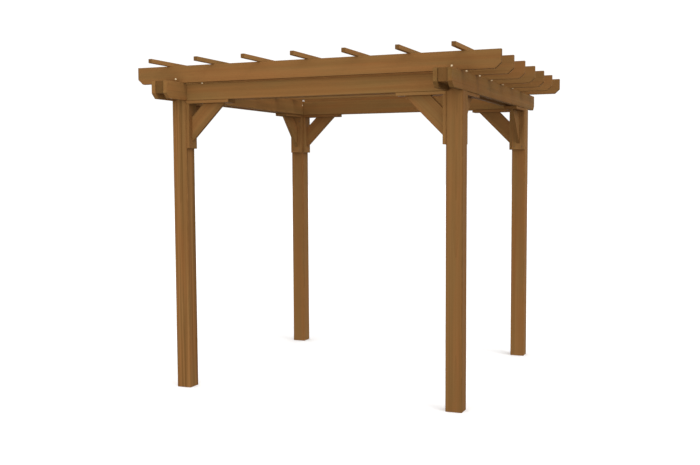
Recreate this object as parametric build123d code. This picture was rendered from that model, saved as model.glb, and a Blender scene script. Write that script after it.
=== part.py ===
from build123d import *
from math import sqrt
import os

# Wooden pergola, an open garden frame, in millimetres.
# +Z is up and z = 0 is the ground. +X runs along the front to the right, +Y to the back.
# The origin is on the ground at the middle of the plan.

# Posts
post_width = 128.0            # square section
post_height = 2370.0          # ground to the underside of the beams
post_edge_chamfer = 5.0       # the four long edges
frame_width = 2440.0          # over the outer faces of the posts, along X
frame_depth = 2440.0          # over the outer faces of the posts, along Y
tongue_clearance = 1.0        # each side of the tongue on a post, between two beam boards
tongue_height = 100.0

# Double beams
beam_board_thickness = 33.0
inner_board_lap = 12.0        # inner board of a beam, past the post's inner face
side_beam_height = 138.0      # beams that run front to back and carry the rafters
cross_beam_height = 130.0     # beams between them, along the front and the back
side_beam_overhang = 300.0    # past the front and back faces of the posts
spacer_length = 120.0         # blocks between the two boards, near the ends of the side beams
spacer_height = 98.0          # down from the top of the beam
spacer_setback = 10.0         # in from the ends of the boards

# Rafters
rafter_count = 7
rafter_thickness = 33.0
rafter_height = 137.0
rafter_overhang = 288.0       # past the left and right faces of the posts
rafter_outset = 53.0          # outer rafters' faces, past the front and back faces of the posts

# Clipped lower corners of the rafters and side beams
clip_along = 44.0
clip_up = 40.0

# Top slats
slat_count = 7
slat_width = 31.0
slat_height = 33.0
slat_shift = 10.0             # the whole set of slats sits a little to the right
slat_outset = 5.0             # outer slats' middle lines, past the left and right faces of the posts
slat_overhang = 320.0         # past the front and back faces of the posts

# Knee braces
cleat_thickness = 26.0        # flat cleats on the posts and under the beams
cleat_width = 120.0
cleat_length = 388.0          # out from the post, and down from the beam
brace_thickness = 28.0
brace_width = 141.0           # across the diagonal board
brace_open_leg = 105.0        # small triangle left open between the cleats and the board

# Places worked out from the sizes above
half_width = frame_width / 2
half_depth = frame_depth / 2
beam_top = post_height + side_beam_height
rafter_top = beam_top + rafter_height
beam_total_width = post_width + inner_board_lap
tongue_thickness = beam_total_width - 2 * beam_board_thickness - 2 * tongue_clearance
post_x = half_width - post_width / 2
post_y = half_depth - post_width / 2
SIDES = {"left": -1, "right": 1}
ENDS = {"front": -1, "back": 1}

os.makedirs("parts", exist_ok=True)


def save(name, shape):
    export_step(shape, f"parts/{name}.step")


def block(x_range, y_range, z_range):
    """Straight timber between two planes on each axis, given in either order."""
    ranges = (x_range, y_range, z_range)
    size = [abs(b - a) for a, b in ranges]
    centre = [(a + b) / 2 for a, b in ranges]
    return Pos(*centre) * Box(*size)


def clipped_outline(length, foot, top):
    """Side view of a board with both lower corners cut away."""
    half = length / 2
    return Polyline(
        (-half + clip_along, foot),
        (half - clip_along, foot),
        (half, foot + clip_up),
        (half, top),
        (-half, top),
        (-half, foot + clip_up),
        close=True,
    )


def post(side, end):
    """Square post with eased long edges, and a tongue that stands in the gap of the side beam."""
    shaft = Pos(side * post_x, end * post_y, post_height / 2) * Box(post_width, post_width, post_height)
    shaft = chamfer(shaft.edges().filter_by(Axis.Z), post_edge_chamfer)
    tongue_x = side * (half_width - beam_total_width / 2)
    tongue_z = post_height + tongue_height / 2
    tongue = Pos(tongue_x, end * post_y, tongue_z) * Box(tongue_thickness, post_width, tongue_height)
    return shaft + tongue


def side_beam_board(side, inset):
    """One board of a side beam, its outer face a given way in from the post's outer face."""
    length = frame_depth + 2 * side_beam_overhang
    profile = Plane.YZ * make_face(clipped_outline(length, post_height, beam_top))
    middle = side * (half_width - inset - beam_board_thickness / 2)
    return Pos(middle, 0, 0) * extrude(profile, beam_board_thickness / 2, both=True)


def beam_spacer(side, end):
    """Block in the gap between the boards of a side beam, near one end."""
    outer = half_width - beam_board_thickness
    inner = half_width - beam_total_width + beam_board_thickness
    tip = half_depth + side_beam_overhang - spacer_setback
    plan = (side * outer, side * inner), (end * tip, end * (tip - spacer_length))
    return block(*plan, (beam_top - spacer_height, beam_top))


def cross_beam_board(end, inset):
    """One board of the front or back beam, cut between the two side beams."""
    reach = half_width - beam_total_width
    outer = end * (half_depth - inset)
    inner = end * (half_depth - inset - beam_board_thickness)
    return block((-reach, reach), (outer, inner), (post_height, post_height + cross_beam_height))


def rafter(index):
    """Rafter along X on top of the side beams, counted from the front."""
    first = -half_depth - rafter_outset + rafter_thickness / 2
    pitch = -2 * first / (rafter_count - 1)
    profile = Plane.XZ * make_face(clipped_outline(frame_width + 2 * rafter_overhang, beam_top, rafter_top))
    return Pos(0, first + index * pitch, 0) * extrude(profile, rafter_thickness / 2, both=True)


def slat(index):
    """Square slat along Y on top of the rafters, counted from the left."""
    first = -half_width - slat_outset
    pitch = -2 * first / (slat_count - 1)
    middle = slat_shift + first + index * pitch
    reach = half_depth + slat_overhang
    sides = (middle - slat_width / 2, middle + slat_width / 2)
    return block(sides, (-reach, reach), (rafter_top, rafter_top + slat_height))


def along_x(side, end, out, across):
    """Plan ranges in a front or back frame: out from the post's inner face, across its width."""
    face = half_width - post_width
    return tuple(side * (face - d) for d in out), tuple(end * post_y + d for d in across)


def along_y(side, end, out, across):
    """Plan ranges in a left or right frame: out from the post's inner face, across its width."""
    face = half_depth - post_width
    return tuple(side * post_x + d for d in across), tuple(end * (face - d) for d in out)


def beam_cleat(place, side, end):
    """Flat cleat under a beam, out from the post."""
    plan = place(side, end, (0, cleat_length), (-cleat_width / 2, cleat_width / 2))
    return block(*plan, (post_height - cleat_thickness, post_height))


def post_cleat(place, side, end):
    """Flat cleat on a post's inner face, up to the cleat under the beam."""
    plan = place(side, end, (0, cleat_thickness), (-cleat_width / 2, cleat_width / 2))
    return block(*plan, (post_height - cleat_length, post_height - cleat_thickness))


def brace(place, side, end):
    """Diagonal board at 45 degrees between the two cleats, in the middle of their width."""
    inner = cleat_thickness + brace_open_leg
    outer = inner + brace_width * sqrt(2)
    corners = [(inner, cleat_thickness), (outer, cleat_thickness), (cleat_thickness, outer), (cleat_thickness, inner)]
    points = []
    for out, down in corners:
        x_range, y_range = place(side, end, (out, out), (0, 0))
        points.append(Vector(x_range[0], y_range[0], post_height - down))
    face = make_face(Polyline(*points, close=True))
    return extrude(face, brace_thickness / 2, both=True)


inner_board_inset = beam_total_width - beam_board_thickness

for side_name, side in SIDES.items():
    save(f"{side_name}_beam_outer_board", side_beam_board(side, 0))
    save(f"{side_name}_beam_inner_board", side_beam_board(side, inner_board_inset))
    cleats = Compound(children=[beam_cleat(along_y, side, end) for end in ENDS.values()])
    save(f"{side_name}_beam_cleats", cleats)
    cleats = Compound(children=[post_cleat(along_y, side, end) for end in ENDS.values()])
    save(f"{side_name}_post_cleats", cleats)

for end_name, end in ENDS.items():
    save(f"{end_name}_beam_outer_board", cross_beam_board(end, 0))
    save(f"{end_name}_beam_inner_board", cross_beam_board(end, inner_board_inset))
    cleats = Compound(children=[beam_cleat(along_x, side, end) for side in SIDES.values()])
    save(f"{end_name}_beam_cleats", cleats)
    cleats = Compound(children=[post_cleat(along_x, side, end) for side in SIDES.values()])
    save(f"{end_name}_post_cleats", cleats)

for side_name, side in SIDES.items():
    for end_name, end in ENDS.items():
        corner = f"{end_name}_{side_name}"
        save(f"{corner}_post", post(side, end))
        save(f"{corner}_cross_brace", brace(along_x, side, end))
        save(f"{corner}_side_brace", brace(along_y, side, end))
        save(f"{corner}_beam_spacer", beam_spacer(side, end))

for index in range(rafter_count):
    save(f"rafter_{index + 1}", rafter(index))

for index in range(slat_count):
    save(f"top_slat_{index + 1}", slat(index))
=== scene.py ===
import math
import random

import bmesh
import bpy
from bpy.props import FloatProperty, FloatVectorProperty, IntProperty, PointerProperty
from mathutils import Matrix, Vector


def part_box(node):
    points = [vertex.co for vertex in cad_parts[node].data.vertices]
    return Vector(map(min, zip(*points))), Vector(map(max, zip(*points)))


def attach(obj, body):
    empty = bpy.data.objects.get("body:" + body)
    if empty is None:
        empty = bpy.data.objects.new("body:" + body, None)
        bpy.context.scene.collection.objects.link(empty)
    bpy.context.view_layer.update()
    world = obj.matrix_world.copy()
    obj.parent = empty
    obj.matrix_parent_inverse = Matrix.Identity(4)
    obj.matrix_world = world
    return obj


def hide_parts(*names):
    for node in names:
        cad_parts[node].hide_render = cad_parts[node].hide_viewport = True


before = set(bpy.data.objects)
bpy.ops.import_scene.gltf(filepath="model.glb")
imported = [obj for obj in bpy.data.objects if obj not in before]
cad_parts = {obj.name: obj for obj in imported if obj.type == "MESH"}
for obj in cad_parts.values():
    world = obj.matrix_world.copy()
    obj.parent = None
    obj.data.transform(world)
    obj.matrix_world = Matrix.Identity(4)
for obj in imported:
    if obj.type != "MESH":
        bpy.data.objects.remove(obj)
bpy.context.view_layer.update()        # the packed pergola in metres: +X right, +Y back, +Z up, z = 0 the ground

bl_info = {
    "name": "Timber Pergola",
    "version": (1, 0, 0),
    "blender": (4, 5, 0),
    "location": "View3D > Sidebar > Pergola",
    "description": "Finishes a garden pergola: stained timber with its screws and bolts",
    "category": "Object",
}

NODES = sorted(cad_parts)
POSTS = [name for name in NODES if name.endswith("_post")]
BEAM_BOARDS = [name for name in NODES if name.endswith("_board")]
BEAM_SPACERS = [name for name in NODES if name.endswith("_beam_spacer")]
RAFTERS = [name for name in NODES if name.startswith("rafter_")]
SLATS = [name for name in NODES if name.startswith("top_slat_")]
CLEATS = [name for name in NODES if name.endswith("_cleats")]
BRACES = [name for name in NODES if name.endswith("_brace")]
MILLIMETRE = 0.001
MERGE_DISTANCE = 0.00001

# How much paler each timber is painted, or deeper below 0, in steps of the board spread. Partly each board's own
# tone, partly painted light and shade: paler at the back and on the cleats in the shade under the roof, deeper
# on some parts out in the light.
# The first entry that starts the node's name counts.
TONE_AND_LIGHT_LEANS = {
    "front_left_post": 1.4,
    "front_beam_cleats": 1.0,
    "front_left": -0.8,
    "front_right_post": -1.1,
    "front_right": 1.2,
    "back_left_post": 1.2,
    "back_right_post": 1.6,
    "back_right_side_brace": -1.0,
    "back_post_cleats": 5.0,
    "back": 3.4,
    "left_post_cleats": 4.5,
    "left": 2.8,
    "right_post_cleats": 2.4,
    "right": -1.2,
    "rafter_1": -1.0,
    "rafter_3": 4.0,
    "rafter_4": 3.6,
    "rafter": 2.4,
    "top_slat": 3.2,
}
FIGURE = {"front_left_post": 3.0}  # how strong the bands and streaks are, where it isn't 1

# How each kind of timber scales the stain's red, green and blue
POST_TINT = (1.0, 1.0, 1.0)
BEAM_TINT = (0.99, 1.025, 1.01)
RAFTER_TINT = (1.005, 1.005, 1.0)
SLAT_TINT = (1.0, 1.02, 1.0)
BRACE_TINT = (0.98, 1.0, 1.0)

# The patterns in the wood: how often each changes in a metre along the grain and across it, and its detail
PATTERNS = {
    "sway across": (0.45, 3.0, 1.0),
    "sway deep": (0.60, 4.0, 1.0),
    "bands": (0.30, 26.0, 2.0),
    "streaks": (0.8, 80.0, 3.0),
    "dark lines": (0.25, 110.0, 1.0),
    "fibres": (9.0, 700.0, 2.0),
    "edge patches": (18.0, 60.0, 2.0),
    "hue": (1.3, 14.0, 2.0),
}
SOAK_SCALE = 1.7                # how often the stain itself changes in a metre
SWAY = 0.009                    # metres that the middle of the log wanders
LINES_SHOW = (0.50, 0.90)       # where a pattern fades in
EDGE_PATCHES_SHOW = (-0.9, 0.3)

# How far each pattern takes the stain between dark, 0, and light, 1
TONE = {
    "middle": 0.62,
    "years": 0.10,
    "late wood": 0.10,
    "late wood on cut ends": 0.40,
    "bands": 0.26,
    "streaks": 0.12,
    "dark lines": 0.22,
    "fibres": 0.035,
    "soak": 0.035,
}
# How high or deep each pattern is, as a share of the grain depth
RELIEF = {"late wood": 0.30, "fibres": 0.22, "streaks": 0.10, "dark lines": 0.35}
ROUGHER = {"fibres": 0.03, "late wood": -0.05, "cut ends": 0.08}
END_SHADE = 0.55                # of the dark stain, where it soaks into a cut end, and painted shade on the recessed ends of the spacer blocks

# Countersunk screws
HOLE_SHARE = 0.56               # radius of the screw's hole, to the width of its head
HOLE_CLEARANCE = 0.0006         # the hole goes this much deeper than the head's face
CLEAT_SCREWS_OUT = (0.070, 0.360)  # from the corner where post and beam meet, on both sides of the brace
CLEAT_SCREW_SPREAD = 0.035      # to each side of the cleat's middle line

# Heights of a direction, from -1 down to 1 up, between which the light all round changes
GROUND_TO_LOW = (-0.6, -0.1)
LOW_TO_SKY = (0.2, 0.65)
WALL_EDGE = (0.65, 0.85)        # the same for the wall, with 1 straight ahead of the camera


# ---- sizes and colours a user would change

class PergolaTimber(bpy.types.PropertyGroup):
    """How the boards are planed, and how their grain runs"""

    edge_radius: FloatProperty(
        name="Edge radius", description="Rounding of every planed edge",
        default=0.0025, min=0.0005, max=0.01, unit="LENGTH",
    )
    edge_steps: IntProperty(
        name="Edge steps", description="Faces across each rounded edge", default=3, min=1, max=6,
    )
    ring_width: FloatProperty(
        name="Ring width", description="Wood grown in one year",
        default=0.0042, min=0.001, max=0.02, unit="LENGTH",
    )
    pith_distance: FloatProperty(
        name="Pith distance", description="From the middle of a thin board to the middle of its log",
        default=0.09, min=0.0, max=0.5, unit="LENGTH",
    )
    grain_depth: FloatProperty(
        name="Grain depth", description="Height of the raised grain",
        default=0.0006, min=0.0, max=0.005, unit="LENGTH",
    )


class PergolaStain(bpy.types.PropertyGroup):
    """Colours of the matt brown stain"""

    light: FloatVectorProperty(
        name="Light", description="Stain on soft, open wood",
        default=(0.305, 0.148, 0.0490), min=0.0, max=1.0, subtype="COLOR",
    )
    dark: FloatVectorProperty(
        name="Dark", description="Stain on dense late wood",
        default=(0.145, 0.066, 0.0185), min=0.0, max=1.0, subtype="COLOR",
    )
    red_tint: FloatVectorProperty(
        name="Red tint", description="Scales the stain's colour where the wood is redder",
        default=(1.045, 0.98, 0.95), min=0.5, max=1.5,
    )
    olive_tint: FloatVectorProperty(
        name="Olive tint", description="Scales the stain's colour where the wood is greener",
        default=(0.955, 1.02, 1.03), min=0.5, max=1.5,
    )
    # Also scales the painted light and shade of TONE_AND_LIGHT_LEANS
    board_spread: FloatProperty(
        name="Board spread", description="How much one board differs from the next",
        default=0.10, min=0.0, max=1.0, subtype="FACTOR",
    )
    # Darkens the slats' sawn ends, where the stain soaks in, and paints shade on the recessed ends of the spacer
    # blocks between the beam boards
    end_stain_and_block_shade: FloatProperty(
        name="End darkness", description="How much deeper the stain sinks into the slats' and blocks' ends",
        default=0.60, min=0.0, max=1.0, subtype="FACTOR",
    )
    # Darkens the rounded edges, in patches
    edge_darkening: FloatProperty(
        name="Edge depth", description="How much deeper the stain gathers on the rounded edges",
        default=0.35, min=0.0, max=1.0, subtype="FACTOR",
    )
    roughness: FloatProperty(
        name="Roughness", description="Dullness of the stained surface",
        default=0.74, min=0.0, max=1.0, subtype="FACTOR",
    )


class PergolaFixings(bpy.types.PropertyGroup):
    """Screws and bolts"""

    plated_screw_width: FloatProperty(
        name="Plated screw width", description="Across the washer head",
        default=0.0160, min=0.005, max=0.04, unit="LENGTH",
    )
    rafter_screw_lift: FloatProperty(
        name="Rafter screw lift", description="Above the underside of the rafter",
        default=0.032, min=0.0, max=0.1, unit="LENGTH",
    )
    corner_screw_lift: FloatProperty(
        name="Corner screw lift", description="Above the underside of the side beam",
        default=0.095, min=0.0, max=0.13, unit="LENGTH",
    )
    corner_screw_inset: FloatProperty(
        name="Corner screw inset", description="From the front or back beam",
        default=0.020, min=0.01, max=0.2, unit="LENGTH",
    )
    deck_screw_width: FloatProperty(
        name="Deck screw width", description="Across the countersunk head",
        default=0.0090, min=0.004, max=0.02, unit="LENGTH",
    )
    deck_screw_sink: FloatProperty(
        name="Deck screw sink", description="How far a countersunk head lies below the wood",
        default=0.0007, min=0.0002, max=0.004, unit="LENGTH",
    )
    bolt_width: FloatProperty(
        name="Bolt width", description="Across the washer under the bolt of the back rafter",
        default=0.0280, min=0.008, max=0.05, unit="LENGTH",
    )
    bolt_lift: FloatProperty(
        name="Bolt lift", description="Above the underside of the back rafter",
        default=0.0145, min=0.0, max=0.1, unit="LENGTH",
    )
    screw_colour: FloatVectorProperty(
        name="Screw colour", description="Yellow plated steel",
        default=(1.0, 0.80, 0.51), min=0.0, max=1.0, subtype="COLOR",
    )
    bolt_colour: FloatVectorProperty(
        name="Bolt colour", description="Galvanised steel",
        default=(0.98, 0.94, 0.87), min=0.0, max=1.0, subtype="COLOR",
    )
    coated_colour: FloatVectorProperty(
        name="Coated colour", description="Brown coating of the countersunk screws",
        default=(0.120, 0.060, 0.025), min=0.0, max=1.0, subtype="COLOR",
    )


class PergolaStage(bpy.types.PropertyGroup):
    """Floor, light and camera"""

    camera_place: FloatVectorProperty(
        name="Camera place", description="Where the camera stands",
        default=(2.985, -7.945, 1.803), subtype="TRANSLATION", unit="LENGTH",
    )
    camera_turn: FloatVectorProperty(
        name="Camera turn", description="How the camera is turned",
        default=(math.radians(85.713), math.radians(0.353), math.radians(22.422)),
        subtype="EULER", unit="ROTATION",
    )
    lens: FloatProperty(
        name="Lens", description="Focal length in millimetres on a 36 mm sensor",
        default=48.72, min=10.0,
    )
    shift: FloatVectorProperty(
        name="Shift", description="Camera shift across and up", default=(0.0228, 0.0115), size=2,
    )
    sky_light: FloatProperty(
        name="Sky light", description="Strength of the light from above", default=1.22, min=0.0,
    )
    low_light: FloatProperty(
        name="Low light", description="Strength of the light near the horizon", default=0.56, min=0.0,
    )
    ground_light: FloatProperty(
        name="Ground light", description="Strength of the light from below", default=0.28, min=0.0,
    )
    backdrop_light: FloatProperty(
        name="Backdrop light", description="Strength of the white wall behind the object",
        default=1.05, min=0.0,
    )
    key_light: FloatProperty(
        name="Key light", description="Strength of the soft light from the right", default=0.76, min=0.0,
    )
    key_turn: FloatProperty(
        name="Key turn", description="Direction of the soft light, round from the front to the right",
        default=math.radians(60), subtype="ANGLE",
    )
    key_height: FloatProperty(
        name="Key height", description="Angle of the soft light above the ground",
        default=math.radians(20), subtype="ANGLE",
    )
    key_softness: FloatProperty(
        name="Key softness", description="Angle that the soft light fills",
        default=math.radians(60), subtype="ANGLE",
    )
    high_light: FloatProperty(
        name="High light", description="Strength of the clearer light, which bands the beam below rafters",
        default=0.38, min=0.0,
    )
    high_turn: FloatProperty(
        name="High turn", description="Direction of the clearer light, round from the front to the right",
        default=math.radians(72), subtype="ANGLE",
    )
    high_height: FloatProperty(
        name="High height", description="Angle of the clearer light above the ground",
        default=math.radians(48), subtype="ANGLE",
    )
    high_softness: FloatProperty(
        name="High softness", description="Angle that the clearer light fills",
        default=math.radians(20), subtype="ANGLE",
    )
    lamp_light: FloatProperty(
        name="Lamp light", description="Power of the round lamp in front", default=64.0, min=0.0,
    )
    lamp_place: FloatVectorProperty(
        name="Lamp place", description="Where the round lamp stands",
        default=(-0.4, -5.0, 1.9), subtype="TRANSLATION", unit="LENGTH",
    )
    lamp_width: FloatProperty(
        name="Lamp width", description="Across the round lamp", default=2.0, min=0.1, unit="LENGTH",
    )
    floor_colour: FloatVectorProperty(
        name="Floor colour", description="Pale studio floor",
        default=(0.97, 0.97, 0.97), min=0.0, max=1.0, subtype="COLOR",
    )
    floor_radius: FloatProperty(
        name="Floor radius", description="Half the width of the floor",
        default=100.0, min=5.0, unit="LENGTH",
    )


# ---- node trees

class Wire:
    """One output of a node. Each operator adds a Math node, so that maths reads as an expression."""

    def __init__(self, tree, socket):
        self.tree = tree
        self.socket = socket

    def maths(self, operation, *values):
        return self.tree.add("ShaderNodeMath", {"operation": operation}, dict(enumerate(values)))

    def __add__(self, other):
        return self.maths("ADD", self, other)

    __radd__ = __add__

    def __sub__(self, other):
        return self.maths("SUBTRACT", self, other)

    def __rsub__(self, other):
        return self.maths("SUBTRACT", other, self)

    def __mul__(self, other):
        return self.maths("MULTIPLY", self, other)

    __rmul__ = __mul__

    def __truediv__(self, other):
        return self.maths("DIVIDE", self, other)

    def __rtruediv__(self, other):
        return self.maths("DIVIDE", other, self)

    def __pow__(self, other):
        return self.maths("POWER", self, other)

    def __floordiv__(self, other):
        return self.maths("FLOOR", self / other)


class Tree:
    """A node tree that is filled by calls, for materials and for geometry."""

    def __init__(self, nodes_and_links):
        self.nodes = nodes_and_links.nodes
        self.links = nodes_and_links.links

    def add(self, kind, settings=None, inputs=None, output=0):
        """A node: its settings first, then its sockets' values or links. Returns one of its outputs."""
        node = self.nodes.new(kind)
        for name, value in (settings or {}).items():
            setattr(node, name, value)
        for key, value in (inputs or {}).items():
            if isinstance(value, Wire):
                self.links.new(value.socket, node.inputs[key])
            else:
                node.inputs[key].default_value = value
        return Wire(self, node.outputs[output]) if len(node.outputs) else node


class Finish(Tree):
    """A material's node tree, with the patterns that wood and steel share."""

    def __init__(self, name):
        self.material = bpy.data.materials.new(name)
        self.material.use_nodes = True
        super().__init__(self.material.node_tree)
        self.nodes.clear()

    def attribute(self, name, output="Fac"):
        return self.add("ShaderNodeAttribute", {"attribute_name": name}, output=output)

    def parts(self, vector):
        node = self.add("ShaderNodeSeparateXYZ", None, {0: vector}).socket.node
        return [Wire(self, socket) for socket in node.outputs]

    def noise(self, vector, scale=1.0, detail=2.0):
        """Smooth noise about zero, mostly between -1 and 1."""
        inputs = {"Vector": vector, "Scale": scale, "Detail": detail, "Roughness": 0.5}
        return (self.add("ShaderNodeTexNoise", None, inputs) - 0.5) * 4.0

    def step(self, value, edges):
        """0 below the first edge, 1 above the second, and smooth between."""
        inputs = {"Value": value, "From Min": edges[0], "From Max": edges[1]}
        return self.add("ShaderNodeMapRange", {"interpolation_type": "SMOOTHSTEP"}, inputs)

    def mix(self, share, first, second):
        """first where share is 0 and second where it is 1, as colours."""
        pair = [(*value, 1.0) if isinstance(value, tuple) else value for value in (first, second)]
        inputs = {"Factor": share, 6: pair[0], 7: pair[1]}
        return self.add("ShaderNodeMix", {"data_type": "RGBA"}, inputs, output=2)

    def bump(self, height, distance):
        return self.add("ShaderNodeBump", None, {"Height": height, "Distance": distance, "Strength": 1.0})

    def close(self, sockets):
        """Adds the Principled shader with these sockets, and the output. Returns the material."""
        shader = self.add("ShaderNodeBsdfPrincipled", None, sockets)
        self.add("ShaderNodeOutputMaterial", None, {"Surface": shader})
        return self.material


# ---- finishes

def tinted(colour, tint):
    """A colour with each channel scaled."""
    return tuple(value * share for value, share in zip(colour, tint))


def shaded(colour, share):
    """A colour with all channels scaled alike."""
    return tuple(value * share for value in colour)


def stained_timber(name, tint, end_share=0.25):
    """Matt stain over sawn softwood. The grain follows each board's own attribute.

    tint scales the stain's colour, and end_share the darkness of the cut ends, which on the spacer blocks is
    painted shade.
    """
    timber = bpy.context.scene.pergola_timber
    stain = bpy.context.scene.pergola_stain
    finish = Finish(name)
    along, across, deep = finish.parts(finish.attribute("grain", "Vector"))

    def pattern(kind):
        lengthwise, crosswise, detail = PATTERNS[kind]
        parts = (along * lengthwise, across * crosswise, deep * crosswise)
        place = finish.add("ShaderNodeCombineXYZ", None, dict(enumerate(parts)))
        return finish.noise(place, detail=detail)

    # Year rings round the middle of the log, which the trunk's slow sway carries in and out of the faces.
    ring_across = across + pattern("sway across") * SWAY
    ring_deep = deep + pattern("sway deep") * SWAY
    radius = (ring_across ** 2.0 + ring_deep ** 2.0) ** 0.5
    years = radius / timber.ring_width
    year = years // 1.0
    late_wood = (years - year) ** 4.0
    year_tone = finish.add("ShaderNodeTexWhiteNoise", {"noise_dimensions": "1D"}, {"W": year}) - 0.5

    # Bands a hand wide, streaks a finger wide, thin dark lines, and fibres.
    figure = finish.attribute("figure")
    bands = pattern("bands")
    streaks = pattern("streaks")
    lines = finish.step(pattern("dark lines"), LINES_SHOW)
    fibres = pattern("fibres")
    soak = finish.noise(finish.add("ShaderNodeTexCoord", output="Object"), scale=SOAK_SCALE)

    # Darker along the rounded edges, in patches
    edge = finish.attribute("rounded_edge") * finish.step(pattern("edge patches"), EDGE_PATCHES_SHOW)
    # The board's random tone, with its painted light and shade from TONE_AND_LIGHT_LEANS added
    board = finish.attribute("board_tone")
    cut = finish.attribute("cut_end")
    share = (
        TONE["middle"]
        + board * stain.board_spread
        + year_tone * TONE["years"]
        - late_wood * (TONE["late wood"] + cut * TONE["late wood on cut ends"])
        + bands * figure * TONE["bands"]
        + streaks * figure * TONE["streaks"]
        - lines * figure * TONE["dark lines"]
        + fibres * TONE["fibres"]
        + soak * TONE["soak"]
        - edge * stain.edge_darkening
    )
    dark = tinted(stain.dark, tint)
    light = tinted(stain.light, tint)
    red = finish.mix(share, tinted(dark, stain.red_tint), tinted(light, stain.red_tint))
    olive = finish.mix(share, tinted(dark, stain.olive_tint), tinted(light, stain.olive_tint))
    colour = finish.mix(pattern("hue") * 0.9 + 0.5, red, olive)
    # Darker cut ends: stain soaking into the slats' end grain, and painted shade on the recessed spacer blocks
    colour = finish.mix(cut * (stain.end_stain_and_block_shade * end_share), colour, shaded(dark, END_SHADE))

    height = (
        late_wood * RELIEF["late wood"]
        + fibres * RELIEF["fibres"]
        + streaks * RELIEF["streaks"]
        - lines * RELIEF["dark lines"]
    )
    roughness = fibres * ROUGHER["fibres"] + late_wood * ROUGHER["late wood"] + cut * ROUGHER["cut ends"]
    return finish.close({
        "Base Color": colour,
        "Roughness": stain.roughness + roughness,
        "Specular IOR Level": 0.04,
        "Normal": finish.bump(height, timber.grain_depth),
    })


def clouded(name, dull, bright, scale, detail, middle, roughness, spread, pit_depth, metallic=0.0):
    """A finely pitted coat whose colour drifts between dull, 0, and bright, 1, about the middle."""
    finish = Finish(name)
    place = finish.add("ShaderNodeTexCoord", output="Object")
    cloud = finish.noise(place, scale, detail)
    return finish.close({
        "Base Color": finish.mix(cloud * 0.4 + middle, dull, bright),
        "Metallic": metallic,
        "Roughness": roughness + cloud * spread,
        "Normal": finish.bump(cloud, pit_depth),
    })


def plated_steel(name, colour):
    """Bright plating, a little clouded."""
    return clouded(
        name, shaded(colour, 0.72), colour, scale=240.0, detail=3.0, middle=0.6,
        roughness=0.34, spread=0.07, pit_depth=0.00005, metallic=0.3,
    )


def coated_screw(name, colour):
    """Brown ceramic coating of a countersunk screw, rubbed paler in places."""
    return clouded(
        name, colour, shaded(colour, 1.6), scale=300.0, detail=2.0, middle=0.4,
        roughness=0.5, spread=0.08, pit_depth=0.00004,
    )


# ---- boards

def box_round(vertices):
    """The low and high corners of the box round some vertices."""
    low = Vector(min(vertex.co[i] for vertex in vertices) for i in range(3))
    high = Vector(max(vertex.co[i] for vertex in vertices) for i in range(3))
    return low, high


class Board:
    """One solid piece of timber: where it is, and how it was cut from its log."""

    THIN = 0.06                # thinner boards are sawn beside the middle of the log
    THIN_WANDER = 0.03         # how far off its line the middle of the log is, in a thin board
    THICK_WANDER = 0.02        # and in a post
    PITH_SPREAD = (0.6, 1.4)
    FIGURE_SPREAD = (0.35, 0.80)
    LOG_LENGTHS = (0.0, 40.0)  # each board starts somewhere else in the pattern
    END_SLOPE = (0.35, 0.80)

    def __init__(self, faces, dice, pith_distance):
        edges = {edge for face in faces for edge in face.edges}
        corners = {vertex for face in faces for vertex in face.verts}
        self.planes = [(face.normal.copy(), face.verts[0].co.copy()) for face in faces]
        self.low, self.high = box_round(corners)
        longest = max(edges, key=lambda edge: round(edge.calc_length(), 4))
        start, end = longest.verts
        broadest = max(faces, key=lambda face: (round(face.calc_area(), 4), *map(abs, face.normal)))
        self.along = self.upright((end.co - start.co).normalized())
        self.deep = self.upright(broadest.normal.copy())
        self.across = self.deep.cross(self.along).normalized()
        axes = (self.along, self.across, self.deep)
        self.middle = Vector(sum(self.span(corners, axis)) / 2 for axis in axes)
        low_side, high_side = self.span(corners, self.deep)
        self.tone = dice.uniform(-1.0, 1.0)
        self.figure = dice.uniform(*self.FIGURE_SPREAD)
        if high_side - low_side < self.THIN:
            away = pith_distance * dice.uniform(*self.PITH_SPREAD) * dice.choice((-1, 1))
            pith = (dice.uniform(-self.THIN_WANDER, self.THIN_WANDER), away)
        else:
            pith = [dice.uniform(-self.THICK_WANDER, self.THICK_WANDER) for _ in range(2)]
        self.offset = Vector((dice.uniform(*self.LOG_LENGTHS), *pith))

    @staticmethod
    def upright(direction):
        """The same line, pointing the way that makes its largest part positive."""
        largest = max(direction, key=abs)
        return direction if largest > 0 else -direction

    @staticmethod
    def span(corners, axis):
        reach = [corner.co.dot(axis) for corner in corners]
        return min(reach), max(reach)

    def holds(self, point):
        ranges = zip(self.low, point, self.high)
        return all(low - MILLIMETRE < place < high + MILLIMETRE for low, place, high in ranges)

    def grain(self, point):
        """Place in the log: along it, and the two distances from its middle."""
        place = Vector((point.dot(self.along), point.dot(self.across), point.dot(self.deep)))
        return place - self.middle + self.offset

    def on_edge(self, point, radius):
        """1 on the middle of a rounded edge, 0 on a flat face."""
        depths = [abs((point - corner).dot(normal)) for normal, corner in self.planes]
        near = [depth for depth in depths if depth < radius * 0.999]
        return 1.0 if len(near) > 1 and min(near) > MERGE_DISTANCE * 2 else 0.0

    def cut(self, normal):
        """1 on sawn end grain, 0 on a long face."""
        low, high = self.END_SLOPE
        slope = abs(normal.dot(self.along))
        return min(max((slope - low) / (high - low), 0.0), 1.0)


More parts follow.
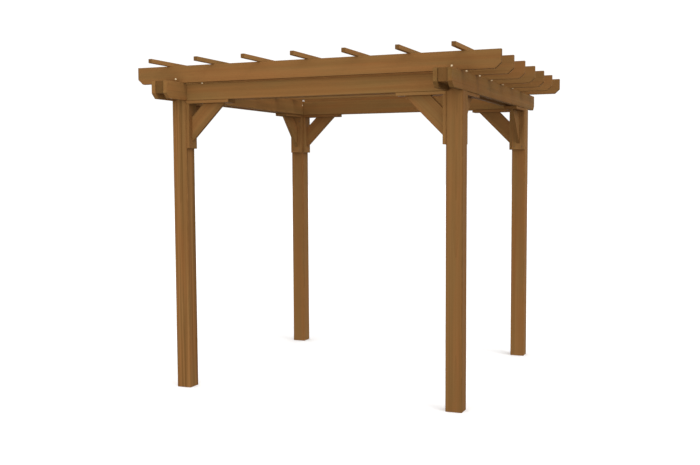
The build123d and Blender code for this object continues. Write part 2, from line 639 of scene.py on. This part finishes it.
def merged_solids(node):
    """A merged copy of a CAD node with its flat faces whole, and the faces of each solid in it."""
    shape = bmesh.new()
    shape.from_mesh(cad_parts[node].data)
    bmesh.ops.remove_doubles(shape, verts=shape.verts, dist=MERGE_DISTANCE)
    flat = math.radians(1.0)
    bmesh.ops.dissolve_limit(shape, angle_limit=flat, verts=shape.verts, edges=shape.edges)
    shape.normal_update()
    left = set(shape.faces)
    solids = []
    while left:
        solid = set()
        front = {min(left, key=lambda face: face.index)}
        while front:
            solid |= front
            front = {near for face in front for edge in face.edges for near in edge.link_faces} - solid
        left -= solid
        solids.append(sorted(solid, key=lambda face: face.index))
    return shape, solids


def ease_edges(shape, radius, steps):
    """Rounds the outer edges."""
    sharp = math.radians(20)
    outer = [edge for edge in shape.edges if edge.calc_face_angle_signed(0.0) > sharp]
    bmesh.ops.bevel(
        shape, geom=outer, offset=radius, segments=steps, profile=0.5,
        affect="EDGES", clamp_overlap=True,
    )


def new_object(name, data):
    """An object in the scene."""
    made = bpy.data.objects.new(name, data)
    bpy.context.scene.collection.objects.link(made)
    return made


def new_piece(name, shape, material):
    """An object from a bmesh, with its place in its mesh."""
    mesh = bpy.data.meshes.new(name)
    shape.to_mesh(mesh)
    shape.free()
    mesh.materials.append(material)
    return new_object(name, mesh)


def discard(piece):
    """Removes an object and its mesh."""
    mesh = piece.data
    bpy.data.objects.remove(piece)
    bpy.data.meshes.remove(mesh)


def settle(piece):
    """Makes the piece's mesh what its modifiers show, and removes them."""
    graph = bpy.context.evaluated_depsgraph_get()
    shown = piece.evaluated_get(graph)
    mesh = bpy.data.meshes.new_from_object(shown, preserve_all_data_layers=True, depsgraph=graph)
    old = piece.data
    name = old.name
    piece.modifiers.clear()
    piece.data = mesh
    bpy.data.meshes.remove(old)
    mesh.name = name


def smooth_shading(piece):
    """Smooth over the rounded edges, flat over the broad faces."""
    piece.data.shade_smooth()
    smooth = piece.modifiers.new("Broad faces flat", "WEIGHTED_NORMAL")
    smooth.mode = "FACE_AREA"
    smooth.weight = 60
    smooth.keep_sharp = True


def mark_grain(mesh, boards, radius):
    """Writes what the stain reads: grain, board tone with its painted light and shade, figure, rounded edges and
    cut ends.
    """
    marks = mesh.attributes
    for name in ("board_tone", "figure", "rounded_edge"):
        marks.new(name, "FLOAT", "POINT")
    marks.new("grain", "FLOAT_VECTOR", "POINT")
    marks.new("cut_end", "FLOAT", "FACE")
    owner = [next(b for b in boards if b.holds(v.co)) for v in mesh.vertices]
    for number, (vertex, board) in enumerate(zip(mesh.vertices, owner)):
        marks["grain"].data[number].vector = board.grain(vertex.co)
        marks["board_tone"].data[number].value = board.tone
        marks["figure"].data[number].value = board.figure
        marks["rounded_edge"].data[number].value = board.on_edge(vertex.co, radius)
    for number, face in enumerate(mesh.polygons):
        marks["cut_end"].data[number].value = owner[face.vertices[0]].cut(face.normal)


def drill(piece, holes, radius, depth):
    """Shallow round holes. Each is a place on the face and the way out of the wood."""
    cutter = bmesh.new()
    for place, out in holes:
        turn = out.to_track_quat("Z", "Y").to_matrix().to_4x4()
        turn.translation = place
        size = {"radius1": radius, "radius2": radius, "depth": 2 * depth}
        bmesh.ops.create_cone(cutter, cap_ends=True, segments=16, matrix=turn, **size)
    bits = new_piece("drill_bits", cutter, piece.data.materials[0])
    bore = piece.modifiers.new("Screw holes", "BOOLEAN")
    bore.operation = "DIFFERENCE"
    bore.solver = "EXACT"
    bore.object = bits
    settle(piece)
    discard(bits)


def tone_and_light_lean(node):
    """The lean in tone and painted light and shade that this node's boards get, from TONE_AND_LIGHT_LEANS."""
    return next((value for start, value in TONE_AND_LIGHT_LEANS.items() if node.startswith(start)), 0.0)


def finished_board(node, material, holes=()):
    """A timber with eased edges, screw holes and grain, which stands for its CAD node."""
    timber = bpy.context.scene.pergola_timber
    fixings = bpy.context.scene.pergola_fixings
    dice = random.Random(node)
    shape, solids = merged_solids(node)
    boards = [Board(faces, dice, timber.pith_distance) for faces in solids]
    for board in boards:
        # Painted light and shade, added to the board's random tone
        board.tone += tone_and_light_lean(node)
        board.figure *= FIGURE.get(node, 1.0)
    ease_edges(shape, timber.edge_radius, timber.edge_steps)
    piece = new_piece(f"{node}_timber", shape, material)
    if holes:
        hole_depth = fixings.deck_screw_sink + HOLE_CLEARANCE
        drill(piece, holes, fixings.deck_screw_width * HOLE_SHARE, hole_depth)
    smooth_shading(piece)
    settle(piece)
    mark_grain(piece.data, boards, timber.edge_radius)
    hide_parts(node)
    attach(piece, "root")


# ---- screw heads

def circle(angle):
    """Outline of a round, at 1 from the middle."""
    return 1.0


def hexagon(angle):
    """Outline of a nut, its flats at 1 from the middle."""
    return 1 / math.cos(angle % math.radians(60) - math.radians(30))


def star(angle):
    """Outline of a six-lobed driver socket, its lobes' tips at 1 from the middle."""
    return 0.86 + 0.14 * math.cos(6 * angle)


def turned(name, width, rings, steps):
    """A closed head from rings stacked along z, from the shank end up.

    Each ring is an outline, its share of the head's width, and its height.
    """
    shape = bmesh.new()
    loops = []
    for outline, share, height in rings:
        loop = []
        for step in range(steps):
            angle = 2 * math.pi * step / steps
            reach = outline(angle) * share * width / 2
            loop.append(shape.verts.new((reach * math.cos(angle), reach * math.sin(angle), height)))
        loops.append(loop)
    shape.faces.new(reversed(loops[0]))
    shape.faces.new(loops[-1])
    for lower, upper in zip(loops, loops[1:]):
        for step in range(steps):
            after = (step + 1) % steps
            shape.faces.new((lower[step], lower[after], upper[after], upper[step]))
    mesh = bpy.data.meshes.new(name)
    shape.to_mesh(mesh)
    shape.free()
    return bpy.data.objects.new(name, mesh)


def washer_head(width):
    """Flat domed head of a rafter screw with a star socket."""
    rings = [
        (circle, 0.96, 0.0),
        (circle, 1.0, 0.0005),
        (circle, 1.0, 0.0012),
        (circle, 0.93, 0.0017),
        (circle, 0.62, 0.0024),
        (circle, 0.56, 0.0036),
        (circle, 0.48, 0.0040),
        (star, 0.36, 0.0040),
        (star, 0.34, 0.0014),
    ]
    return turned("washer_head", width, rings, steps=36)


def deck_head(width):
    """Top of a countersunk screw with a star socket. Its face is at z = 0."""
    rings = [
        (circle, 0.90, -0.0005),
        (circle, 1.0, -0.0001),
        (circle, 0.97, 0.0),
        (star, 0.52, 0.0),
        (star, 0.48, -0.0004),
    ]
    return turned("deck_head", width, rings, steps=12)


def bolt_head(width):
    """Hexagon bolt on a round washer."""
    rings = [
        (circle, 0.97, 0.0),
        (circle, 1.0, 0.0003),
        (circle, 1.0, 0.0014),
        (circle, 0.96, 0.0018),
        (hexagon, 0.62, 0.0018),
        (hexagon, 0.62, 0.0062),
        (circle, 0.6076, 0.0070),
        (circle, 0.496, 0.0071),
    ]
    return turned("bolt_head", width, rings, steps=24)


# ---- rows of fixings

# The kind of each input of the tree
FIXING_INPUTS = {
    "Head": "Object",
    "Columns": "Int",
    "Rows": "Int",
    "First Place": "Vector",
    "Column Step": "Vector",
    "Row Step": "Vector",
    "Facing": "Vector",
    "Turn Seed": "Int",
    "Finish": "Material",
}


def fixing_rows_tree():
    """Geometry nodes that set a head at each place of a grid, turned by chance about its shank."""
    group = bpy.data.node_groups.new("Rows of fixings", "GeometryNodeTree")
    group.interface.new_socket("Geometry", in_out="INPUT", socket_type="NodeSocketGeometry")
    for name, kind in FIXING_INPUTS.items():
        group.interface.new_socket(name, in_out="INPUT", socket_type=f"NodeSocket{kind}")
    group.interface.new_socket("Geometry", in_out="OUTPUT", socket_type="NodeSocketGeometry")
    tree = Tree(group)
    entry = tree.add("NodeGroupInput").socket.node
    given = {socket.name: Wire(tree, socket) for socket in entry.outputs if socket.name}

    def vector_maths(operation, first, second):
        key = "Scale" if operation == "SCALE" else 1
        return tree.add("ShaderNodeVectorMath", {"operation": operation}, {0: first, key: second})

    index = tree.add("GeometryNodeInputIndex")
    row = index // given["Columns"]
    column = index - row * given["Columns"]
    over = vector_maths("SCALE", given["Column Step"], column)
    up = vector_maths("SCALE", given["Row Step"], row)
    place = vector_maths("ADD", given["First Place"], vector_maths("ADD", over, up))
    count = given["Columns"] * given["Rows"]
    places = tree.add("GeometryNodePoints", None, {"Count": count, "Position": place})

    chance = {2: 0.0, 3: 2 * math.pi, "ID": index, "Seed": given["Turn Seed"]}
    angle = tree.add("FunctionNodeRandomValue", {"data_type": "FLOAT"}, chance, output=1)
    twist = tree.add("FunctionNodeAxisAngleToRotation", None, {"Axis": (0.0, 0.0, 1.0), "Angle": angle})
    facing = tree.add("FunctionNodeAlignRotationToVector", {"axis": "Z"}, {"Vector": given["Facing"]})
    turn = tree.add("FunctionNodeRotateRotation", {"rotation_space": "LOCAL"}, {0: facing, 1: twist})

    head = tree.add("GeometryNodeObjectInfo", None, {"Object": given["Head"]}, output="Geometry")
    inputs = {"Points": places, "Instance": head, "Rotation": turn}
    heads = tree.add("GeometryNodeInstanceOnPoints", None, inputs)
    solid = tree.add("GeometryNodeRealizeInstances", None, {"Geometry": heads})
    coated = tree.add("GeometryNodeSetMaterial", None, {"Geometry": solid, "Material": given["Finish"]})
    joined = tree.add("GeometryNodeJoinGeometry", None, {"Geometry": coated})
    tree.links.new(given["Geometry"].socket, joined.socket.node.inputs["Geometry"])
    tree.add("NodeGroupOutput", None, {"Geometry": joined})
    return group


def set_rows(piece, group, values):
    """Adds one grid of fixings to a piece, with values by the names of the tree's inputs."""
    rows = piece.modifiers.new("Rows of fixings", "NODES")
    rows.node_group = group
    for socket in group.interface.items_tree:
        if socket.in_out == "INPUT" and socket.name in values:
            rows[socket.identifier] = values[socket.name]


def fixings_piece(name, head, finish, grids):
    """All of one kind of fixing as one piece, from its grids."""
    group = bpy.data.node_groups.get("Rows of fixings") or fixing_rows_tree()
    piece = new_piece(name, bmesh.new(), finish)
    for number, grid in enumerate(grids):
        set_rows(piece, group, {"Head": head, "Finish": finish, "Turn Seed": number + 1, **grid})
    settle(piece)
    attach(piece, "root")


# ---- places taken from the frame

def centre(node):
    low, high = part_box(node)
    return (low + high) / 2


NO_STEP = (0, 0, 0)  # in a row or column of one


def make_grid(first, facing, columns, over, rows, up):
    """Places in columns and rows, with the steps between them, by the names of the tree's inputs."""
    return {
        "First Place": first,
        "Facing": Vector(facing),
        "Columns": columns,
        "Column Step": Vector(over),
        "Rows": rows,
        "Row Step": Vector(up),
    }


def slat_grid():
    """A screw in the top of each slat, over the middle of each rafter."""
    first = Vector((centre(SLATS[0]).x, centre(RAFTERS[0]).y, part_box(SLATS[0])[1].z))
    over = (centre(SLATS[-1]).x - first.x) / (len(SLATS) - 1)
    back = (centre(RAFTERS[-1]).y - first.y) / (len(RAFTERS) - 1)
    return make_grid(first, (0, 0, 1), len(SLATS), (over, 0, 0), len(RAFTERS), (0, back, 0))


def rafter_grid(rafters, lift):
    """A fixing in the front face of each of these rafters, over the middle of each side beam."""
    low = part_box(rafters[0])[0]
    pitch = (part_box(rafters[-1])[0].y - low.y) / max(len(rafters) - 1, 1)
    reach = (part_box("right_beam_inner_board")[0].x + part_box("right_beam_outer_board")[1].x) / 2
    first = Vector((-reach, low.y, low.z + lift))
    return make_grid(first, (0, -1, 0), 2, (2 * reach, 0, 0), len(rafters), (0, pitch, 0))


def corner_grids(lift, inset):
    """A fixing in the inner face of each side beam, close to the front and back beams."""
    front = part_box("front_beam_inner_board")[1].y + inset
    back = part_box("back_beam_inner_board")[0].y - inset
    low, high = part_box("left_beam_inner_board")
    faces = {high.x: 1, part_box("right_beam_inner_board")[0].x: -1}
    return [
        make_grid(Vector((face, front, low.z + lift)), (inward, 0, 0), 1, NO_STEP, 2, (0, back - front, 0))
        for face, inward in faces.items()
    ]


def cleat_boxes(node):
    """The low and high corners of each of the two cleats in a node."""
    shape, solids = merged_solids(node)
    boxes = [box_round([vertex for face in faces for vertex in face.verts]) for faces in solids]
    shape.free()
    return boxes


def cleat_grids(node):
    """Two pairs of screws on the bare face of each cleat in a node, one pair at each side of the brace."""
    axes = [Vector((1, 0, 0)), Vector((0, 1, 0))]
    out_axis, side_axis = axes if node.startswith(("front", "back")) else reversed(axes)
    near, far = CLEAT_SCREWS_OUT
    grids = []
    for low, high in cleat_boxes(node):
        middle = (low + high) / 2
        inward = out_axis * (-1 if middle.dot(out_axis) > 0 else 1)
        half = (high - low).dot(out_axis) / 2
        if "beam" in node:
            first = middle + inward * (near - half)
            first.z = low.z
            step, facing = inward * (far - near), (0, 0, -1)
        else:
            first = middle + inward * half
            first.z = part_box(node.replace("post_cleats", "beam_cleats"))[1].z - near
            step, facing = (0, 0, near - far), inward
        spread = side_axis * CLEAT_SCREW_SPREAD
        grids.append(make_grid(first - spread, facing, 2, spread * 2, 2, step))
    return grids


def grid_places(grid):
    """The places of a grid, each with the way out of the wood."""
    return [
        (grid["First Place"] + grid["Column Step"] * column + grid["Row Step"] * row, grid["Facing"])
        for row in range(grid["Rows"])
        for column in range(grid["Columns"])
    ]


def sunk(grid, depth):
    """The same grid, moved into the wood."""
    return {**grid, "First Place": grid["First Place"] - grid["Facing"] * depth}


# ---- floor, light and camera

def lay_floor(stage):
    """A wide pale disc. It takes shadows, and throws no light back under the roof."""
    shape = bmesh.new()
    bmesh.ops.create_circle(shape, cap_ends=True, segments=96, radius=stage.floor_radius)
    finish = Finish("pale_floor")
    place = finish.add("ShaderNodeTexCoord", output="Object")
    speckle = finish.noise(place, scale=0.8)
    pale = tuple(stage.floor_colour)
    material = finish.close({
        "Base Color": finish.mix(speckle * 0.5 + 0.5, shaded(pale, 0.99), pale),
        "Roughness": 0.9,
        "Specular IOR Level": 0.0,
    })
    floor = new_piece("floor", shape, material)
    floor.visible_diffuse = False
    floor.visible_glossy = False
    floor.visible_shadow = False


def light_sky(stage):
    """Soft light all round, strongest from above, and a white wall behind. The camera sees only white."""
    world = bpy.data.worlds.new("studio_light")
    world.use_nodes = True
    world.node_tree.nodes.clear()
    tree = Tree(world.node_tree)
    direction = tree.add("ShaderNodeTexCoord", output="Generated")
    height = tree.add("ShaderNodeSeparateXYZ", None, {0: direction}, output="Z")

    def blend(value, edges, start, end):
        inputs = {"Value": value, "From Min": edges[0], "From Max": edges[1], "To Min": start, "To Max": end}
        return tree.add("ShaderNodeMapRange", {"interpolation_type": "SMOOTHSTEP"}, inputs)

    below = blend(height, GROUND_TO_LOW, stage.ground_light, stage.low_light)
    above = blend(height, LOW_TO_SKY, 0.0, stage.sky_light - stage.low_light)
    around = below + above
    turn = stage.camera_turn[2]
    view = (-math.sin(turn), math.cos(turn), 0.0)
    ahead = {0: direction, 1: view}
    facing = tree.add("ShaderNodeVectorMath", {"operation": "DOT_PRODUCT"}, ahead, output="Value")
    wall = blend(facing, WALL_EDGE, 0.0, 1.0)
    lighting = around + wall * (stage.backdrop_light - around)
    seen = tree.add("ShaderNodeLightPath", output="Is Camera Ray")
    strength = lighting + seen * (stage.backdrop_light - lighting)
    light = tree.add("ShaderNodeBackground", None, {"Color": (1, 1, 1, 1), "Strength": strength})
    tree.add("ShaderNodeOutputWorld", None, {"Surface": light})
    bpy.context.scene.world = world


def light_lamp(stage):
    """A round lamp in front, near enough to light the front more than the back."""
    lamp = bpy.data.lights.new("front_lamp", "AREA")
    lamp.shape = "DISK"
    lamp.size = stage.lamp_width
    lamp.energy = stage.lamp_light
    light = new_object("front_lamp", lamp)
    light.location = stage.lamp_place
    away = Vector((*stage.lamp_place[:2], 0.0))
    light.rotation_euler = away.to_track_quat("Z", "Y").to_euler()


def light_sun(name, strength, turn, height, softness):
    """A light from far away, turned round from the front to the right and raised above the ground."""
    lamp = bpy.data.lights.new(name, "SUN")
    lamp.energy = strength
    lamp.angle = softness
    flat = math.cos(height)
    towards = Vector((math.sin(turn) * flat, -math.cos(turn) * flat, math.sin(height)))
    new_object(name, lamp).rotation_euler = towards.to_track_quat("Z", "Y").to_euler()


def place_camera(stage):
    """The camera, in front and to the right, at eye height."""
    lens = bpy.data.cameras.new("camera")
    lens.sensor_width = 36.0
    lens.lens = stage.lens
    lens.shift_x, lens.shift_y = stage.shift
    camera = new_object("camera", lens)
    camera.location = stage.camera_place
    camera.rotation_euler = stage.camera_turn
    bpy.context.scene.camera = camera


# ---- operators

class PERGOLA_OT_posts(bpy.types.Operator):
    """Finish the four square posts"""

    bl_idname = "pergola.posts"
    bl_label = "Posts"

    def execute(self, context):
        material = stained_timber("stained_post_timber", POST_TINT)
        for node in POSTS:
            finished_board(node, material)
        return {"FINISHED"}


class PERGOLA_OT_beams(bpy.types.Operator):
    """Finish the boards of the four double beams, and the blocks between the boards"""

    bl_idname = "pergola.beams"
    bl_label = "Beams"

    def execute(self, context):
        board_finish = stained_timber("stained_beam_timber", BEAM_TINT)
        # The blocks' ends take the full end darkness, painted shade of their recess between the boards
        block_finish_with_painted_shade = stained_timber("stained_block_timber", BEAM_TINT, end_share=1.0)
        for node in BEAM_BOARDS:
            finished_board(node, board_finish)
        for node in BEAM_SPACERS:
            finished_board(node, block_finish_with_painted_shade)
        return {"FINISHED"}


class PERGOLA_OT_rafters(bpy.types.Operator):
    """Finish the rafters that lie across the side beams"""

    bl_idname = "pergola.rafters"
    bl_label = "Rafters"

    def execute(self, context):
        material = stained_timber("stained_rafter_timber", RAFTER_TINT)
        for node in RAFTERS:
            finished_board(node, material)
        return {"FINISHED"}


class PERGOLA_OT_slats(bpy.types.Operator):
    """Finish the slats on top, each with a screw hole over every rafter"""

    bl_idname = "pergola.slats"
    bl_label = "Top slats"

    def execute(self, context):
        material = stained_timber("stained_slat_timber", SLAT_TINT, end_share=1.0)
        holes = grid_places(slat_grid())
        for number, node in enumerate(SLATS):
            finished_board(node, material, holes[number::len(SLATS)])
        return {"FINISHED"}


class PERGOLA_OT_braces(bpy.types.Operator):
    """Finish the cleats on the posts and beams, and the diagonal boards between them"""

    bl_idname = "pergola.braces"
    bl_label = "Knee braces"

    def execute(self, context):
        material = stained_timber("stained_brace_timber", BRACE_TINT)
        for node in CLEATS:
            holes = [place for grid in cleat_grids(node) for place in grid_places(grid)]
            finished_board(node, material, holes)
        for node in BRACES:
            finished_board(node, material)
        return {"FINISHED"}


class PERGOLA_OT_plated_screws(bpy.types.Operator):
    """Set a plated screw in each rafter over each side beam, and one in each inner corner of the beams"""

    bl_idname = "pergola.plated_screws"
    bl_label = "Plated screws"

    def execute(self, context):
        fixings = context.scene.pergola_fixings
        finish = plated_steel("yellow_plated_steel", tuple(fixings.screw_colour))
        in_front = rafter_grid(RAFTERS[:-1], fixings.rafter_screw_lift)
        # The back rafter has a bolt on the left, and its right screw goes in from behind.
        x, _, z = in_front["First Place"]
        from_behind = Vector((-x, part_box(RAFTERS[-1])[1].y, z))
        behind = make_grid(from_behind, (0, 1, 0), 1, NO_STEP, 1, NO_STEP)
        head = washer_head(fixings.plated_screw_width)
        fixings_piece("rafter_screws", head, finish, [in_front, behind])
        grids = corner_grids(fixings.corner_screw_lift, fixings.corner_screw_inset)
        fixings_piece("corner_screws", head, finish, grids)
        discard(head)
        return {"FINISHED"}


class PERGOLA_OT_rafter_bolt(bpy.types.Operator):
    """Set the galvanised bolt in the front of the back rafter"""

    bl_idname = "pergola.rafter_bolt"
    bl_label = "Back rafter bolt"

    def execute(self, context):
        fixings = context.scene.pergola_fixings
        finish = plated_steel("galvanised_steel", tuple(fixings.bolt_colour))
        grids = [{**rafter_grid(RAFTERS[-1:], fixings.bolt_lift), "Columns": 1}]
        head = bolt_head(fixings.bolt_width)
        fixings_piece("rafter_bolt", head, finish, grids)
        discard(head)
        return {"FINISHED"}


class PERGOLA_OT_deck_screws(bpy.types.Operator):
    """Set the countersunk screws in the slats and in the cleats"""

    bl_idname = "pergola.deck_screws"
    bl_label = "Countersunk screws"

    def execute(self, context):
        fixings = context.scene.pergola_fixings
        finish = coated_screw("brown_screw_coating", tuple(fixings.coated_colour))
        sink = fixings.deck_screw_sink
        head = deck_head(fixings.deck_screw_width)
        fixings_piece("slat_screws", head, finish, [sunk(slat_grid(), sink)])
        grids = [sunk(grid, sink) for node in CLEATS for grid in cleat_grids(node)]
        fixings_piece("cleat_screws", head, finish, grids)
        discard(head)
        return {"FINISHED"}


class PERGOLA_OT_stage(bpy.types.Operator):
    """Set out the floor, the light and the camera"""

    bl_idname = "pergola.stage"
    bl_label = "Stage"

    def execute(self, context):
        stage = context.scene.pergola_stage
        lay_floor(stage)
        light_sky(stage)
        light_sun("key_light", stage.key_light, stage.key_turn, stage.key_height, stage.key_softness)
        light_sun("high_light", stage.high_light, stage.high_turn, stage.high_height, stage.high_softness)
        light_lamp(stage)
        place_camera(stage)
        context.scene.view_settings.view_transform = "Standard"
        return {"FINISHED"}


OPERATORS = (
    PERGOLA_OT_posts,
    PERGOLA_OT_beams,
    PERGOLA_OT_rafters,
    PERGOLA_OT_slats,
    PERGOLA_OT_braces,
    PERGOLA_OT_plated_screws,
    PERGOLA_OT_rafter_bolt,
    PERGOLA_OT_deck_screws,
    PERGOLA_OT_stage,
)


class PERGOLA_PT_panel(bpy.types.Panel):
    """The pergola's pieces, in building order"""

    bl_idname = "PERGOLA_PT_panel"
    bl_label = "Timber Pergola"
    bl_space_type = "VIEW_3D"
    bl_region_type = "UI"
    bl_category = "Pergola"

    def draw(self, context):
        for operator in OPERATORS:
            self.layout.operator(operator.bl_idname)
        for settings in SETTINGS:
            box = self.layout.box()
            box.label(text=settings.__doc__)
            group = getattr(context.scene, SETTINGS[settings])
            for name in settings.__annotations__:
                box.prop(group, name)


SETTINGS = {
    PergolaTimber: "pergola_timber",
    PergolaStain: "pergola_stain",
    PergolaFixings: "pergola_fixings",
    PergolaStage: "pergola_stage",
}


def register():
    for settings, name in SETTINGS.items():
        bpy.utils.register_class(settings)
        setattr(bpy.types.Scene, name, PointerProperty(type=settings))
    for made in (*OPERATORS, PERGOLA_PT_panel):
        bpy.utils.register_class(made)


def unregister():
    for made in reversed((*OPERATORS, PERGOLA_PT_panel)):
        bpy.utils.unregister_class(made)
    for settings, name in SETTINGS.items():
        delattr(bpy.types.Scene, name)
        bpy.utils.unregister_class(settings)


def main():
    register()
    for operator in OPERATORS:
        group, name = operator.bl_idname.split(".")
        getattr(getattr(bpy.ops, group), name)()


if __name__ == "__main__":
    main()
